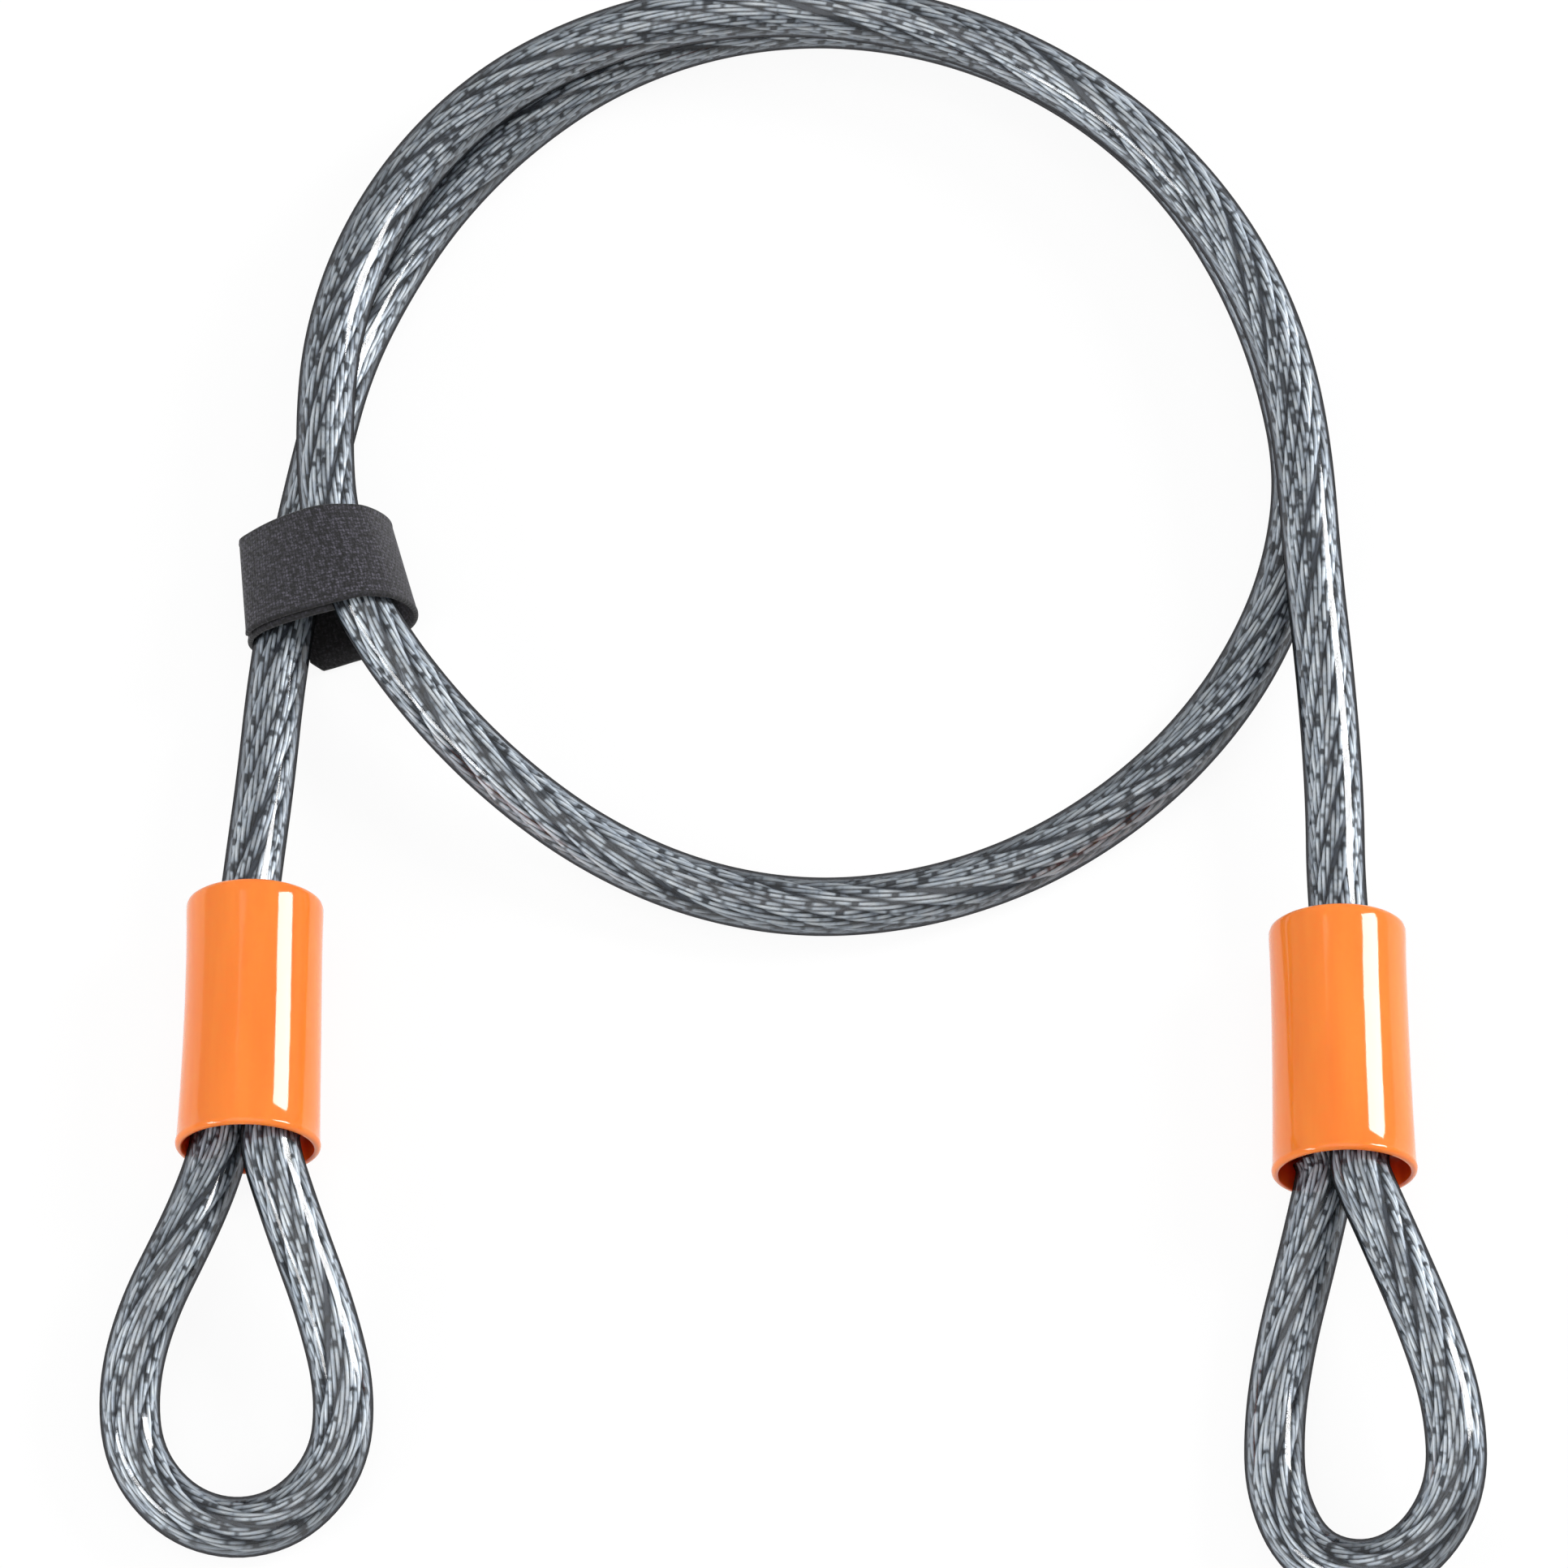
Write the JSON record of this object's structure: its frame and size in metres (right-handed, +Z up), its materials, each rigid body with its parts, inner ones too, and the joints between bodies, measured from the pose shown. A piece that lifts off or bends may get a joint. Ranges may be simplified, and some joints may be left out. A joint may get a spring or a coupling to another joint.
{
  "type": "cable lock",
  "caption": "Flexible security cable with a loop crimped at each end, coiled and tied with a hook-and-loop strap, for use with a padlock or a shackle lock.",
  "frame": {"origin": "middle of the part's footprint, on the surface that it lies on", "axes": "+Z up, the two eyes point to -Y, the coiled ring lies towards +Y, +X to the right seen from the eyes"},
  "size_m": [0.2274, 0.3026, 0.0246],
  "materials": {
    "cable_jacket": "clear smoke-grey, glossy",
    "wire_rope": "galvanised strands",
    "ferrule": "pressed",
    "sleeve": "glossy moulded",
    "strap_webbing": "woven, matt",
    "strap_tab": "woven, matt",
    "strap_patch": "hook and loop"
  },
  "bodies": {
    "cable": {"coil_jacket": "cable_jacket", "coil_rope": "wire_rope", "left_tail_jacket": "cable_jacket", "left_tail_rope": "wire_rope", "right_tail_jacket": "cable_jacket", "right_tail_rope": "wire_rope", "left_eye_jacket": "cable_jacket", "left_eye_rope": "wire_rope", "right_eye_jacket": "cable_jacket", "right_eye_rope": "wire_rope", "left_ferrule": "ferrule", "right_ferrule": "ferrule", "left_sleeve": "sleeve", "right_sleeve": "sleeve"},
    "strap": {"strap_band": "strap_webbing", "strap_loop_patch": "strap_patch", "strap_tab": "strap_tab"},
    "strap_end": {"strap_end": "strap_webbing", "strap_hook_patch": "strap_patch"}
  },
  "joints": [
    {"name": "strap_slide", "type": "slide", "parent": "cable", "child": "strap", "axis": [-0.1891, 0.982, 0], "range_m": [0, 0.003]},
    {"name": "strap_end_peel", "type": "hinge", "parent": "strap", "child": "strap_end", "pos_m": [-0.07642, 0.02386, 0.02138], "axis": [-0.3607, 0.9323, 0.0257], "range_deg": [0, 120]}
  ]
}
